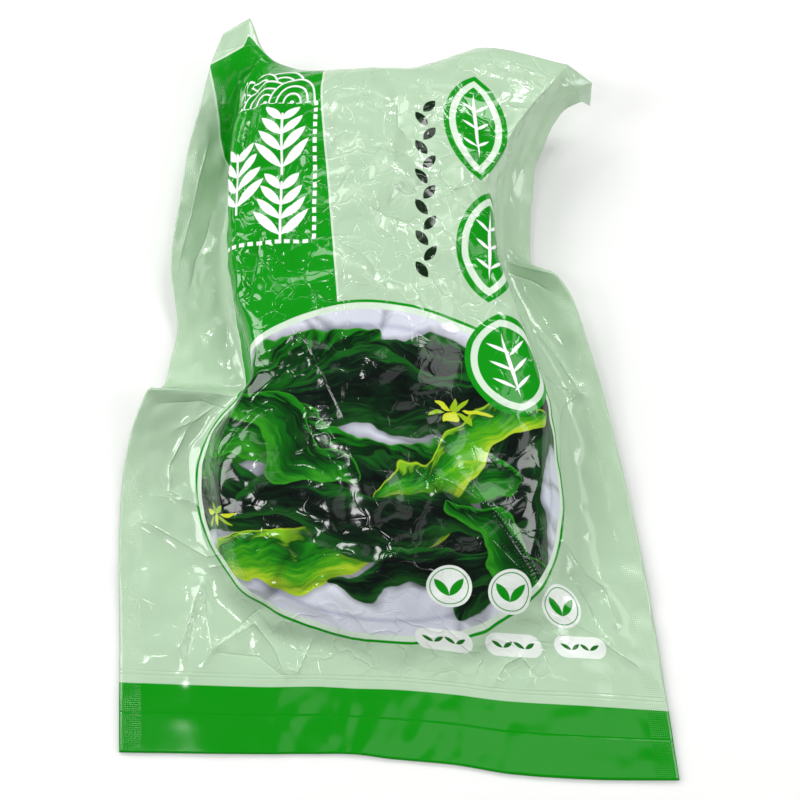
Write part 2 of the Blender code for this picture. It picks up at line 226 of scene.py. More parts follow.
# Kelp blades of the picture, back to front: (middle, turn, half length, half width, sway,
# wavelength, tones across the blade)
DARK_BLADE = (
    (0.0, "#164C18"), (0.3, "#08240F"), (0.55, "#040907"), (0.8, "#0C2614"), (1.0, "#145816"),
)
GREEN_BLADE = (
    (0.0, "#2F8C1A"), (0.3, "#0E6610"), (0.55, "#07400D"), (0.8, "#032009"), (1.0, "#167A12"),
)
BRIGHT_BLADE = (
    (0.0, "#A9C82A"), (0.3, "#55A818"), (0.6, "#1F8612"), (0.85, "#0C4F10"), (1.0, "#79B41E"),
)
KELP_STRIPS = (
    ((75, 165), 35, 60, 18, 5, 70, GREEN_BLADE), ((165, 168), -25, 56, 17, 6, 60, DARK_BLADE),
    ((120, 165), 5, 76, 18, 6, 80, DARK_BLADE), ((70, 112), -20, 52, 17, 5, 60, DARK_BLADE),
    ((184, 118), 72, 60, 15, 6, 75, DARK_BLADE), ((110, 138), -12, 80, 16, 7, 90, GREEN_BLADE),
    ((150, 105), -30, 62, 17, 6, 66, DARK_BLADE), ((92, 94), 14, 62, 12, 5, 70, BRIGHT_BLADE),
    ((162, 142), 34, 44, 9, 5, 50, BRIGHT_BLADE), ((118, 114), -5, 60, 14, 6, 72, DARK_BLADE),
    ((84, 150), -38, 40, 11, 4, 46, GREEN_BLADE), ((146, 90), 12, 45, 9, 4, 52, DARK_BLADE),
    ((178, 100), -50, 34, 8, 3, 40, GREEN_BLADE),
)

# How dark the soft shadow round a blade is, and the two small sprigs: middle and turn
SHADOW = 0.7
SPRIGS = (((160.0, 160.0), 10.0), ((54.0, 112.0), 30.0))
SPRIG_LEAVES = 7
SPRIG_TURN = 51.0

# How far the blades and sprigs are pushed out of line, in millimetres, and the waves of that
# push per millimetre
PUSH = 12.0
PUSH_WAVES = 0.036

# The heat seals: a diamond knurl down both sides, its ribs 1.3 mm apart and so 1.84 mm along
# the film, and lines across the bottom and the top
KNURL_PITCH = 1.84
KNURL_HEIGHT = 0.03
SEAL_LINES = (17.5, 34.2, 36.0, 350.0)
SEAL_LINE_DEPTH = 0.12

# Creases and dents that the vacuum has pressed into the film: height, width, and the way
# it runs, in the rails' millimetres. A negative height is a groove.
CREASES = (
    (1.8, 7.0, ((-98, -13), (-108, -33), (-108, -45), (-98, -50))),
    (1.9, 7.0, ((-119, -59), (-89, -76), (-79, -75))),
    (0.8, 5.0, ((-115, -47), (-98, -50), (-90, -55))),
    (0.9, 4.0, ((-88, -81), (-80, -80))),
    (2.0, 5.0, ((-91, -88), (-100, -116), (-96, -129))),
    (1.6, 4.0, ((-91, -88), (-85, -118), (-88, -123))),
    (-1.2, 3.0, ((-93, -103), (-97, -128))),
    (2.2, 6.0, ((-85, -118), (-81, -115), (-66, -106), (-58, -116), (-51, -130))),
    (-1.2, 5.0, ((-85, -119), (-64, -121), (-51, -131))),
    (1.4, 4.0, ((-51, -126), (-46, -128), (-39, -112))),
    (-1.3, 5.0, ((-81, -113), (-67, -102), (-61, -99))),
    (1.6, 6.0, ((65, 31), (76, 16), (85, 1))),
    (1.4, 6.0, ((85, 1), (76, -7), (74, -16))),
    (1.2, 6.0, ((85, 1), (53, 11))),
    (1.8, 6.0, ((74, -16), (74, -40), (75, -69))),
    (2.4, 4.5, ((75, -69), (86, -84), (94, -90), (98, -106))),
    (-2.0, 5.0, ((79, -86), (87, -98), (91, -110))),
    (1.8, 4.0, ((62, -91), (79, -106), (93, -114))),
    (0.9, 5.0, ((12, -41), (39, -57), (63, -91))),
    (0.8, 5.0, ((0, -35), (31, -62), (66, -96))),
    (0.8, 5.0, ((25, -41), (49, -67), (67, -91))),
    (1.2, 4.0, ((92, -114), (97, -118), (109, -126))),
    (1.4, 4.0, ((43, -132), (48, -124), (55, -121), (59, -126), (58, -132))),
    (-1.4, 6.0, ((-101, 52), (-99, 66), (-95, 77), (-92, 92))),
    (1.2, 5.0, ((-107, 60), (-102, 84), (-97, 110), (-93, 130))),
    (-3.6, 2.2, ((-68, 157), (-69, 140), (-70, 127), (-74, 101), (-79, 86))),
    (1.9, 3.2, ((-63, 156), (-65, 127), (-69, 101), (-75, 84))),
    (-2.0, 3.0, ((-77, 157), (-70, 164))),
    (-1.6, 2.2, ((-64, 67), (-66, 51), (-69, 37))),
    (-1.2, 3.5, ((-46, 108), (-50, 84), (-46, 65))),
    (-1.3, 3.0, ((-1, 133), (-1, 120), (6, 110))),
    (-1.2, 2.6, ((-14, 109), (-5, 106), (5, 105))),
    (-1.2, 3.0, ((-15, 80), (-5, 75), (7, 72))),
    (-1.2, 3.0, ((-29, 64), (-16, 56), (-11, 49))),
    (0.9, 1.8, ((-9, 75), (-10, 70), (-5, 67))),
    (0.9, 2.2, ((16, 84), (23, 87), (29, 93))),
    (1.8, 3.0, ((75, 147), (56, 125), (41, 97))),
    (1.2, 2.2, ((-116, -1), (-94, 0), (-70, -3))),
    (-1.5, 2.6, ((-113, -6), (-93, -4), (-76, -9))),
    (1.3, 3.5, ((-106, -17), (-96, -13), (-87, -6))),
    (1.4, 3.0, ((74, 55), (62, 61), (50, 67))),
    (-1.6, 3.0, ((72, 49), (63, 56), (53, 61))),
    (-1.6, 3.0, ((-84, -37), (-76, -27), (-62, -14))),
    (1.0, 3.0, ((-45, 22), (-36, 4), (-24, -20))),
)

# A crease's section: how far its tip is rounded off, the share of its height in the sharp
# tent, and the least width of that tent, so that the grid can follow it
CREASE_TIP = 0.7
CREASE_SHARE = 0.45
CREASE_FINEST = 1.4

# The sharp line along a crease's top: how far from it a point knows of it, how much nearer
# than the next crease it has to be, as a share of both distances, the crease height whose
# line is full, and the line's own height and half width
MARK_REACH = 5.0
MARK_LEAD = (0.35, 0.6)
MARK_FULL = 1.4
MARK_RISE = 0.3
MARK_WIDTH = 1.0

# Thin random creases: the width of the patches that they part, and how high and wide they are
PUCKERS = ((8.0, 0.09, 0.9), (17.0, 0.24, 2.2))

# How far they are bent out of straight, in millimetres, and the waves of that per millimetre
BEND = 14.0
BEND_WAVES = 0.09

# How the film settles: step of the grid points, rounds, and share of the spare length
LEVELS = ((4, 60, 0.9), (2, 120, 1.0), (1, 150, 1.0))

# The film's spare length as a share of its place: everywhere between the seals, over the
# block, and up to how much more in some patches of it
LOOSE_SPARE = 0.005
BLOCK_SPARE = 0.004
PATCH_SPARE = 0.020

# How far it may lie below and above its place, in millimetres, and how stiffly it bends, each
# with what the block adds to it, and how far the vacuum presses it down in a round
LOWEST, BLOCK_LOWEST = -1.6, 0.8
HIGHEST, BLOCK_HIGHEST = 2.4, -1.0
STIFFNESS, BLOCK_STIFFNESS = 0.010, 0.004
PRESS = 0.002

# The random heights that a grid settles from: their step in grid points, and their size in
# millimetres
JITTER = ((6, 0.38), (3, 0.14))

# The studio's lights: name, place and size in metres, and power in watts
LIGHTS = (
    ("softbox_over_top_left", (-0.75, 0.95, 1.0), (0.9, 0.6), 9.0),
    ("window_left", (-1.1, -0.05, 0.75), (0.4, 0.8), 8.0),
    ("window_right", (1.0, -0.25, 0.78), (0.4, 0.8), 6.5),
    ("lamp_over_right", (0.30, 0.75, 1.1), (0.2, 0.03), 0.8),
    ("lamp_over_left", (-0.50, 0.20, 1.2), (0.02, 0.14), 0.45),
    ("lamp_over_front", (-0.40, -0.37, 1.1), (0.16, 0.14), 1.1),
    ("panel_over_top", (-0.05, 0.62, 1.0), (0.5, 0.3), 0.8),
    ("panel_over_corner", (0.40, 0.62, 1.1), (0.3, 0.3), 2.6),
    ("panel_over_right", (0.47, 0.12, 1.0), (0.4, 0.4), 1.2),
    ("panel_over_band", (0.12, -0.30, 1.1), (0.5, 0.2), 0.25),
)


def smooth_step(low, high, x):
    """0 below low, 1 above high, and 3t^2 - 2t^3 between them."""
    t = np.clip((x - low) / (high - low), 0.0, 1.0)
    return t * t * (3.0 - 2.0 * t)


def over_block(rails, low, high):
    """1 on the columns over the block, and 0 out on the flaps, that many rails from an edge."""
    return smooth_step(low, high, rails) * smooth_step(low, high, 8.0 - rails)


def over_picture(v):
    """1 on the rows of the kelp picture, where the film is drawn tightest, and 0 away from it."""
    return smooth_step(80.0, 110.0, v) * smooth_step(-215.0, -185.0, -v)


def glide(knots, values, at):
    """A cubic through the knots whose slope never overshoots a peak or a dip."""
    step = np.diff(knots)
    rise = np.diff(values) / step
    slope = np.empty(len(knots))
    slope[0], slope[-1] = rise[0], rise[-1]
    same = rise[:-1] * rise[1:] > 0.0
    total = np.where(same, rise[:-1] + rise[1:], 1.0)
    slope[1:-1] = np.where(same, 2.0 * rise[:-1] * rise[1:] / total, 0.0)
    k = np.clip(np.searchsorted(knots, at, side="right") - 1, 0, len(step) - 1)
    t = (at - knots[k]) / step[k]
    start = (1.0 + 2.0 * t) * (1.0 - t) ** 2 * values[k]
    start += t * (1.0 - t) ** 2 * step[k] * slope[k]
    finish = t * t * (3.0 - 2.0 * t) * values[k + 1]
    finish += t * t * (t - 1.0) * step[k] * slope[k + 1]
    return start + finish


def rail_points(knots, v):
    """The points of one rail at the rows v."""
    table = np.array(knots, dtype=float)
    return np.stack([glide(table[:, 0], table[:, c], v) for c in (1, 2, 3)], axis=-1)


def rows_across(v):
    """Each row as a cubic through the nine rails, whose end directions in each span come
    from the rails on either side, divided by their distance."""
    points = np.stack([rail_points(knots, v) for knots in RAILS], axis=1)
    span = np.linalg.norm(np.diff(points, axis=1), axis=2)[..., None]
    heading = np.empty_like(points)
    heading[:, 1:-1] = (points[:, 2:] - points[:, :-2]) / (span[:, 1:] + span[:, :-1])
    heading[:, 0] = (points[:, 1] - points[:, 0]) / span[:, 0]
    heading[:, -1] = (points[:, -1] - points[:, -2]) / span[:, -1]
    fold = np.zeros((len(v), len(RAILS), 1))
    for rail, low, high in FOLDS:
        fold[:, rail, 0] = smooth_step(low, high, v)
    pieces = []
    for k, steps in enumerate(SPAN_STEPS):
        t = np.linspace(0.0, 1.0, steps, endpoint=False)[None, :, None]
        start, finish = points[:, k][:, None], points[:, k + 1][:, None]
        chord = points[:, k + 1] - points[:, k]
        leave = span[:, k] * heading[:, k] * (1.0 - fold[:, k]) + chord * fold[:, k]
        arrive = span[:, k] * heading[:, k + 1] * (1.0 - fold[:, k + 1]) + chord * fold[:, k + 1]
        leave, arrive = leave[:, None], arrive[:, None]
        curve = (1 + 2 * t) * (1 - t) ** 2 * start + t * (1 - t) ** 2 * leave
        pieces.append(curve + t * t * (3 - 2 * t) * finish + t * t * (t - 1) * arrive)
    return np.concatenate(pieces + [points[:, -1:]], axis=1)


def rail_numbers():
    """The rail number of each column, such as 2.5 half-way from the third rail to the fourth."""
    parts = [k + np.arange(steps) / steps for k, steps in enumerate(SPAN_STEPS)]
    return np.concatenate(parts + [[len(SPAN_STEPS)]])


def with_lumps(points, v, rails):
    """Raises each lump as a smooth bump, fading where no kelp lies below."""
    x, y = points[..., 0], points[..., 1]
    rise = np.zeros_like(x)
    for lump_x, lump_y, radius, height in LUMPS:
        away = ((x - lump_x) ** 2 + (y - lump_y) ** 2) / radius**2
        rise += height * np.exp(-2.5 * away)
    across = over_block(rails, 1.6, 2.2)
    along = smooth_step(TOE_END, TOE_END + 30, v) * smooth_step(-END_START, 20 - END_START, -v)
    lumpy = points.copy()
    lumpy[..., 2] += rise * across[None, :] * along[:, None]
    return lumpy


def with_creases(points):
    """Adds each crease to the height: two tents along its line, a wide one and a sharp
    one, each h exp(-s / w), where s is the distance rounded off near 0. Also gives each
    point's mark: its gap to the nearest crease in x and y, and how sharply that crease is
    folded, which fades at both of its ends and towards the next crease, and is negative for
    a groove."""
    creased = points.copy()
    marks = np.zeros(points.shape)
    closest = np.full(points.shape[:2], np.inf)
    second = closest
    for height, width, way in CREASES:
        near = np.full(points.shape[:2], np.inf)
        mark = np.zeros(points.shape)
        runs = np.diff(np.array(way, dtype=float), axis=0)
        before = np.concatenate([[0.0], np.linalg.norm(runs, axis=1).cumsum()])
        for start, run, passed in zip(way[:-1], runs, before):
            gap = points[..., :2] - np.array(start, dtype=float)
            along = np.clip((gap @ run) / (run @ run), 0.0, 1.0)
            gap = gap - along[..., None] * run
            away = np.linalg.norm(gap, axis=2)
            here = away < near
            near = np.where(here, away, near)
            share = (passed + along * np.linalg.norm(run)) / before[-1]
            fade = np.clip(6.0 * np.minimum(share, 1.0 - share), 0.0, 1.0)
            mark[here, :2] = gap[here]
            mark[here, 2] = (fade * np.clip(height / MARK_FULL, -1.0, 1.0))[here]
        here = near < closest
        second = np.where(here, closest, np.minimum(second, near))
        closest = np.where(here, near, closest)
        marks[here] = mark[here]
        near = np.hypot(near, CREASE_TIP)
        fine = max(0.25 * width, CREASE_FINEST)
        tent = (1.0 - CREASE_SHARE) * np.exp(-near / width) + CREASE_SHARE * np.exp(-near / fine)
        creased[..., 2] += height * tent
    lead = (second - closest) / (second + closest)
    marks[..., 2] *= smooth_step(-MARK_REACH, -0.5 * MARK_REACH, -closest)
    marks[..., 2] *= smooth_step(*MARK_LEAD, lead)
    return creased, marks


def outward(points):
    """Unit normals of a grid of points, on the side that faces up."""
    normal = np.cross(np.gradient(points, axis=1), np.gradient(points, axis=0))
    return normal / np.linalg.norm(normal, axis=2)[..., None]


def spread(rng, shape, cell):
    """Smooth random heights with a step of cell grid points: random knots, blended cubically."""
    rows, columns = shape[0] // cell + 3, shape[1] // cell + 3
    knots = rng.standard_normal((rows, columns))
    r, c = np.arange(shape[0]) / cell, np.arange(shape[1]) / cell
    i, j = r.astype(int), c.astype(int)
    s, t = smooth_step(0, 1, r - i)[:, None], smooth_step(0, 1, c - j)[None, :]
    low = knots[np.ix_(i, j)] * (1 - t) + knots[np.ix_(i, j + 1)] * t
    high = knots[np.ix_(i + 1, j)] * (1 - t) + knots[np.ix_(i + 1, j + 1)] * t
    return low * (1 - s) + high * s


def joints_of(shape):
    """The two ends of every joint of the film's grid, as slices that share no point: along
    the rows, along the columns, and one diagonal of each cell, which turns the other way
    from cell to cell as on a chessboard."""
    rows, columns = shape
    joints = []
    for down in (0, 1):
        near, far = slice(down, rows - 1, 2), slice(down + 1, rows, 2)
        joints.append(((near, slice(None)), (far, slice(None))))
        for across in (0, 1):
            left, right = slice(across, columns - 1, 2), slice(across + 1, columns, 2)
            if down == 0:
                joints.append(((slice(None), left), (slice(None), right)))
            if down == across:
                joints.append(((near, left), (far, right)))
            else:
                joints.append(((near, right), (far, left)))
    return joints


def bend(grid):
    """How far each inner point lies from the mean of its four neighbours, times four."""
    out = np.zeros_like(grid)
    out[1:-1, 1:-1] = grid[:-2, 1:-1] + grid[2:, 1:-1] + grid[1:-1, :-2] + grid[1:-1, 2:]
    out[1:-1, 1:-1] -= 4.0 * grid[1:-1, 1:-1]
    return out


def settle(base, start, spare, low, high, stiff, press, rounds):
    """Film of its own length over the base: each round draws every pair of neighbours
    towards its length, smooths what bends, presses the film down and keeps it between
    low and high along the base's normals."""
    normal = outward(base)
    place = start.copy()
    joints = []
    for a, b in joints_of(base.shape[:2]):
        length = np.linalg.norm(base[b] - base[a], axis=2)
        joints.append((a, b, length * (1.0 + 0.5 * (spare[a] + spare[b]))))
    for _ in range(rounds):
        for a, b, length in joints:
            gap = place[b] - place[a]
            now = np.sqrt((gap * gap).sum(axis=2))
            move = gap * (0.5 * (1.0 - length / now))[..., None]
            place[a] += move
            place[b] -= move
        away = place - base
        bent = bend(bend(away))
        away -= stiff[..., None] * bent
        lift = (away * normal).sum(axis=2)
        slide = away - lift[..., None] * normal
        lift = np.clip(lift - press, low, high)
        place = base + 0.98 * slide + lift[..., None] * normal
    return place


def flat_places(base, rails, v):
    """Where each grid point lies on the flat film, as shares of its width and length.

    u is the arc length from the left edge. Where a row is shorter than the film is wide,
    the rest is tucked into the folds along the two valleys, so that the crest stays at one
    distance from the left edge. Where a row is longer, u is stretched to fit.
    """
    arc = np.linalg.norm(np.diff(base, axis=1), axis=2).cumsum(axis=1)
    arc = np.concatenate([np.zeros((len(v), 1)), arc], axis=1)
    total = arc[:, -1:]
    crest = arc[:, np.argmin(np.abs(rails - 4.0))][:, None]
    over = np.maximum(FILM_WIDTH - total, 0.0)
    left = np.clip(CREST_PLACE - crest, 0.0, over)
    u = arc * np.minimum(FILM_WIDTH / total, 1.0)
    u = u + left * smooth_step(0.8, 1.2, rails) + (over - left) * smooth_step(6.8, 7.2, rails)
    along = np.broadcast_to(v[:, None] / FILM_LENGTH, u.shape)
    return np.stack([u / FILM_WIDTH, along], axis=-1)


def film_shape():
    """The front film's smooth base and its settled and creased points on the full grid, with
    the creases' marks, the columns' rail numbers and the rows' v.

    It settles on a coarse grid, then on finer ones, each begun from random heights."""
    v = np.linspace(0.0, FILM_LENGTH, ROWS)
    rails = rail_numbers()
    base = with_lumps(rows_across(v), v, rails)
    rng = np.random.default_rng(7)
    packed = over_block(rails, 1.1, 1.7)
    packed = packed[None, :] * smooth_step(TOE_START, TOE_END, v)[:, None]
    packed = packed * smooth_step(0.0, 12.0, 352.0 - v)[:, None]
    patchy = 0.5 + 0.5 * np.tanh(1.5 * spread(rng, base.shape[:2], 26))
    loose = smooth_step(BAND_TOP, TOE_END, v) * smooth_step(0.0, 20.0, END_SEALED - v)
    loose = np.broadcast_to(loose[:, None], packed.shape)
    taut = 1.0 - 0.55 * over_picture(v)
    spare = packed * taut[:, None] * (BLOCK_SPARE + PATCH_SPARE * patchy)
    spare = LOOSE_SPARE * loose + spare
    low = LOWEST + packed * BLOCK_LOWEST
    high = HIGHEST + packed * BLOCK_HIGHEST
    stiff = STIFFNESS + packed * BLOCK_STIFFNESS
    press = PRESS * packed
    place = None
    for stride, rounds, share in LEVELS:
        cut = (slice(None, None, stride), slice(None, None, stride))
        shape = base[cut].shape[:2]
        if place is None:
            start = base[cut]
        else:
            start = base[cut] + finer(place - previous, shape)
        jitter = sum(spread(rng, shape, cell) * size for cell, size in JITTER)
        jitter *= 0.25 + 0.75 * loose[cut]
        start = start + jitter[..., None] * outward(base[cut])
        place = settle(
            base[cut], start, share * spare[cut], low[cut], high[cut], stiff[cut], press[cut],
            rounds,
        )
        previous = base[cut]
    place, marks = with_creases(place)
    return base, place, marks, rails, v


def finer(grid, shape):
    """A grid with twice the steps each way, its new points half-way between the old ones."""
    wide = np.zeros((grid.shape[0], shape[1], 3))
    wide[:, ::2] = grid
    wide[:, 1::2] = 0.5 * (grid[:, :-1] + grid[:, 1:])
    full = np.zeros((shape[0], shape[1], 3))
    full[::2] = wide
    full[1::2] = 0.5 * (wide[:-1] + wide[1:])
    return full


def grid_faces(rows, columns, start=0):
    """Two triangles for each cell of a grid of points."""
    corner = start + np.arange(rows - 1)[:, None] * columns + np.arange(columns - 1)
    a, b = corner.ravel(), corner.ravel() + 1
    c, d = a + columns + 1, a + columns
    return np.concatenate([np.stack([a, b, c], 1), np.stack([a, c, d], 1)])


def rim_of(rows, columns, start=0):
    """The border of a grid as one ring of point numbers, counter-clockwise from above."""
    number = start + np.arange(rows * columns).reshape(rows, columns)
    parts = (number[0, :-1], number[:-1, -1], number[-1, :0:-1], number[:0:-1, 0])
    return np.concatenate(parts)


def film_shell(upper, lower):
    """Points and faces of a closed sheet whose hidden face has half as many steps each way.

    Along the rim three triangles join two steps of the fine face to one of the coarse one.
    """
    fine, coarse = upper.shape[:2], lower.shape[:2]
    count = fine[0] * fine[1]
    top = rim_of(*fine)
    low = rim_of(*coarse, count)
    top_next, top_last = np.roll(top, -1)[::2], np.roll(top, -2)[::2]
    low_next = np.roll(low, -1)
    faces = [
        grid_faces(*fine), grid_faces(*coarse, count)[:, ::-1],
        np.stack([low, top_next, top[::2]], 1), np.stack([low, low_next, top_next], 1),
        np.stack([low_next, top_last, top_next], 1),
    ]
    return np.concatenate([upper.reshape(-1, 3), lower.reshape(-1, 3)]), np.concatenate(faces)


def under_block(sealed, rails, v):
    """The back film's outer face: it follows the front film round the edges and drops in
    a quarter ellipse to the floor, z = 0, under the block of kelp."""
    body = (rails >= 1.0) & (rails <= 7.0)
    inner = sealed[:, body]
    left, right = inner[:, :1], inner[:, -1:]
    reach = np.linalg.norm(right - left, axis=2)[..., None]
    arc = np.linalg.norm(np.diff(inner, axis=1), axis=2).cumsum(axis=1)
    t = np.concatenate([np.zeros((len(v), 1)), arc], axis=1)
    t = (t / t[:, -1:])[..., None]
    chord = left * (1.0 - t) + right * t
    bow = 4.0 * t * (1.0 - t)
    middle = inner[:, inner.shape[1] // 2][:, None]
    chord[..., 1:2] += bow * (np.minimum(middle, FOOT_END_Y) - 0.5 * (left + right))[..., 1:2]
    edge = np.minimum(t, 1.0 - t) * reach
    close = np.clip(1.0 - edge / UNDER_RADIUS, 0.0, 1.0)
    chord[..., 2:3] *= 1.0 - np.sqrt(1.0 - close**2)
    joined = 1.0 - smooth_step(TOE_START, TOE_END, v) + smooth_step(END_START, END_SEALED, v)
    joined = joined[:, None, None]
    lower = sealed.copy()
    lower[:, body] = chord * (1.0 - joined) + inner * joined
    lower[..., 2] = np.maximum(lower[..., 2], 0.0)
    return lower


def kelp_block(place, lower, rails, v):
    """The kelp as the two films press it. From half-way between them it reaches either
    way by half their distance less a clearance, and its rim is one closed line."""
    rows = np.flatnonzero((v >= TOE_START) & (v <= END_SEALED))[::2]
    columns = np.flatnonzero((rails >= 1.4) & (rails <= 6.6))[::2]
    cut = np.ix_(rows, columns)
    middle = 0.5 * (place[cut] + lower[cut])
    half = 0.5 * (place[cut] - lower[cut])
    reach = np.linalg.norm(half, axis=2)[..., None]
    half *= np.maximum(1.0 - KELP_CLEARANCE / reach, 0.1)
    inner = np.zeros(middle.shape[:2], dtype=bool)
    inner[1:-1, 1:-1] = True
    half[~inner] = 0.0
    low = np.arange(inner.size).reshape(inner.shape)
    low[inner] = inner.size + np.arange(inner.sum())
    top = grid_faces(*inner.shape)
    points = np.concatenate([(middle + half).reshape(-1, 3), (middle - half)[inner]])
    return points, np.concatenate([top, low.ravel()[top][:, ::-1]])


def add_mesh(name, vertices, faces, material, uv=None, packed=None, marks=None):
    """A smooth mesh object at the origin, in metres, with its flat film coordinates."""
    shift = np.array([CENTRE[0], CENTRE[1], 0.0])
    mesh = bpy.data.meshes.new(name)
    mesh.from_pydata(((vertices - shift) * MM).tolist(), [], faces.tolist())
    mesh.materials.append(material)
    mesh.shade_smooth()
    if uv is not None:
        layer = mesh.uv_layers.new(name="OFBake")
        corner = np.empty(len(mesh.loops), dtype=np.int32)
        mesh.loops.foreach_get("vertex_index", corner)
        layer.data.foreach_set("uv", uv[corner].ravel())
    if packed is not None:
        mesh.attributes.new("packed", "FLOAT", "POINT").data.foreach_set("value", packed)
    if marks is not None:
        layer = mesh.attributes.new("crease", "FLOAT_VECTOR", "POINT")
        layer.data.foreach_set("vector", marks.ravel())
    mesh.update()
    thing = bpy.data.objects.new(name, mesh)
    bpy.context.scene.collection.objects.link(thing)
    return thing


def linear(hexadecimal):
    """An sRGB hex colour as linear red, green, blue and alpha."""
    values = [int(hexadecimal[k:k + 2], 16) / 255.0 for k in (1, 3, 5)]
    curve = [c / 12.92 if c <= 0.04045 else ((c + 0.055) / 1.055) ** 2.4 for c in values]
    return (*curve, 1.0)


def add(tree, kind, *inputs, **settings):
    """Adds a node with its settings by name and its inputs in order, each a value, an
    output, or None to leave it. Returns its first live output."""
    made = tree.nodes.new("ShaderNode" + kind)
    for name, value in settings.items():
        setattr(made, name, value)
    live = [socket for socket in made.inputs if socket.enabled]
    for socket, value in zip(live, inputs):
        if isinstance(value, bpy.types.NodeSocket):
            tree.links.new(value, socket)
        elif value is not None:
            socket.default_value = value
    return next(socket for socket in made.outputs if socket.enabled)


def inside(tree, away, soft=EDGE):
    """1 or more where a distance in millimetres is below 0, and 0 or less where it is
    above, with an edge soft millimetres wide. Laying a colour clips it to 0 to 1."""
    return add(tree, "Math", away, -1.0 / soft, 0.5, operation="MULTIPLY_ADD")


def line(tree, away, width, soft=EDGE):
    """1 within half a width of the place where a distance is 0."""
    near = add(tree, "Math", away, operation="ABSOLUTE")
    rise = 0.5 + 0.5 * width / soft
    return add(tree, "Math", near, -1.0 / soft, rise, operation="MULTIPLY_ADD")


def paint(tree, under, mask, colour):
    """A colour laid over another where the mask is 1."""
    return add(tree, "Mix", mask, under, colour, data_type="RGBA")


def both(tree, one, other):
    """The part of one mask that another lets through."""
    return add(tree, "Math", one, other, operation="MINIMUM")


def oval(tree, at, centre, half_width, half_length):
    """Distance from an ellipse: the length of the place scaled to a unit circle, less 1."""
    local = add(tree, "VectorMath", at, (*centre, 0.0), operation="SUBTRACT")
    scale = (1.0 / half_width, 1.0 / half_length, 0.0)
    local = add(tree, "VectorMath", local, scale, operation="MULTIPLY")
    reach = add(tree, "VectorMath", local, operation="LENGTH")
    size = min(half_width, half_length)
    return add(tree, "Math", reach, size, -size, operation="MULTIPLY_ADD")


def plate(tree, at, centre, half_width, half_length, corner):
    """Distance from a rectangle with round corners."""
    local = add(tree, "VectorMath", at, (*centre, 0.0), operation="SUBTRACT")
    local = add(tree, "VectorMath", local, operation="ABSOLUTE")
    inner = (half_width - corner, half_length - corner, 0.0)
    local = add(tree, "VectorMath", local, inner, operation="SUBTRACT")
    local = add(tree, "VectorMath", local, (0.0, 0.0, 0.0), operation="MAXIMUM")
    reach = add(tree, "VectorMath", local, operation="LENGTH")
    return add(tree, "Math", reach, corner, operation="SUBTRACT")


def slanted(tree, v, edge):
    """How far to the right a slanted edge lies at v."""
    u_place, v_place, slope = edge
    return add(tree, "Math", v, -slope, u_place + slope * v_place, operation="MULTIPLY_ADD")


def turned(tree, at, centre, turn):
    """A place as seen from a centre, along axes that are turned by that many degrees."""
    local = add(tree, "VectorMath", at, (*centre, 0.0), operation="SUBTRACT")
    c, s = math.cos(math.radians(turn)), math.sin(math.radians(turn))
    across = add(tree, "VectorMath", local, (c, s, 0.0), operation="DOT_PRODUCT")
    along = add(tree, "VectorMath", local, (-s, c, 0.0), operation="DOT_PRODUCT")
    return across, along


def leaf(tree, at, centre, half_width, half_length, turn=0.0):
    """Distance from a pointed leaf, the space that two equal circles share: the distance
    from the farther of their middles, less their radius."""
    radius = (half_length**2 + half_width**2) / (2.0 * half_width)
    c, s = math.cos(math.radians(turn)), math.sin(math.radians(turn))
    reaches = []
    for side in (half_width - radius, radius - half_width):
        middle = (centre[0] + side * c, centre[1] + side * s, 0.0)
        reaches.append(add(tree, "VectorMath", at, middle, operation="DISTANCE"))
    reach = add(tree, "Math", *reaches, operation="MAXIMUM")
    return add(tree, "Math", reach, radius, operation="SUBTRACT")


